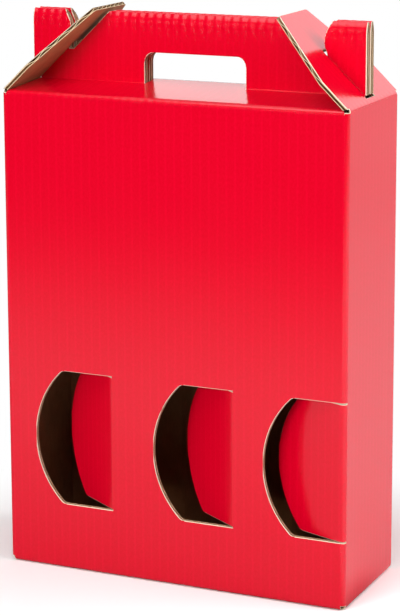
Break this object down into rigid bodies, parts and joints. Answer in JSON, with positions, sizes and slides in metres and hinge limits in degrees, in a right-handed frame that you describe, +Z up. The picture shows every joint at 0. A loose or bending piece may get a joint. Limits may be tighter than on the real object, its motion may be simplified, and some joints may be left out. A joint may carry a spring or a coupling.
{
  "type": "bottle gift box",
  "caption": "Corrugated gift carton for bottles, with a doubled carry handle, end flaps locked over its ears, and bowed front windows whose flaps fold inward.",
  "frame": {"origin": "centre of the base, on the ground", "axes": "+Z up through the handle, front with the windows at -Y, +X to the right seen from the front"},
  "size_m": [0.255, 0.096, 0.3966],
  "materials": {
    "varnished_board": "satin"
  },
  "bodies": {
    "carton": {"carton": "varnished_board"},
    "left_end_flap": {"left_end_flap": "varnished_board"},
    "right_end_flap": {"right_end_flap": "varnished_board"},
    "left_window_flap": {"left_window_flap": "varnished_board"},
    "middle_window_flap": {"middle_window_flap": "varnished_board"},
    "right_window_flap": {"right_window_flap": "varnished_board"}
  },
  "joints": [
    {"name": "left_end_flap_crease", "type": "hinge", "parent": "carton", "child": "left_end_flap", "pos_m": [-0.1275, 0, 0.34], "axis": [0, -1, 0], "range_deg": [0, 135]},
    {"name": "right_end_flap_crease", "type": "hinge", "parent": "carton", "child": "right_end_flap", "pos_m": [0.1275, 0, 0.34], "axis": [0, 1, 0], "range_deg": [0, 135]},
    {"name": "left_window_crease", "type": "hinge", "parent": "carton", "child": "left_window_flap", "pos_m": [-0.0456, -0.048, 0.09605], "axis": [0, 0, -1], "range_deg": [-34, 56]},
    {"name": "middle_window_crease", "type": "hinge", "parent": "carton", "child": "middle_window_flap", "pos_m": [0.0456, -0.048, 0.09605], "axis": [0, 0, -1], "range_deg": [-34, 56]},
    {"name": "right_window_crease", "type": "hinge", "parent": "carton", "child": "right_window_flap", "pos_m": [0.1245, -0.045, 0.09605], "axis": [0, 0, -1], "range_deg": [-21, 59]}
  ]
}
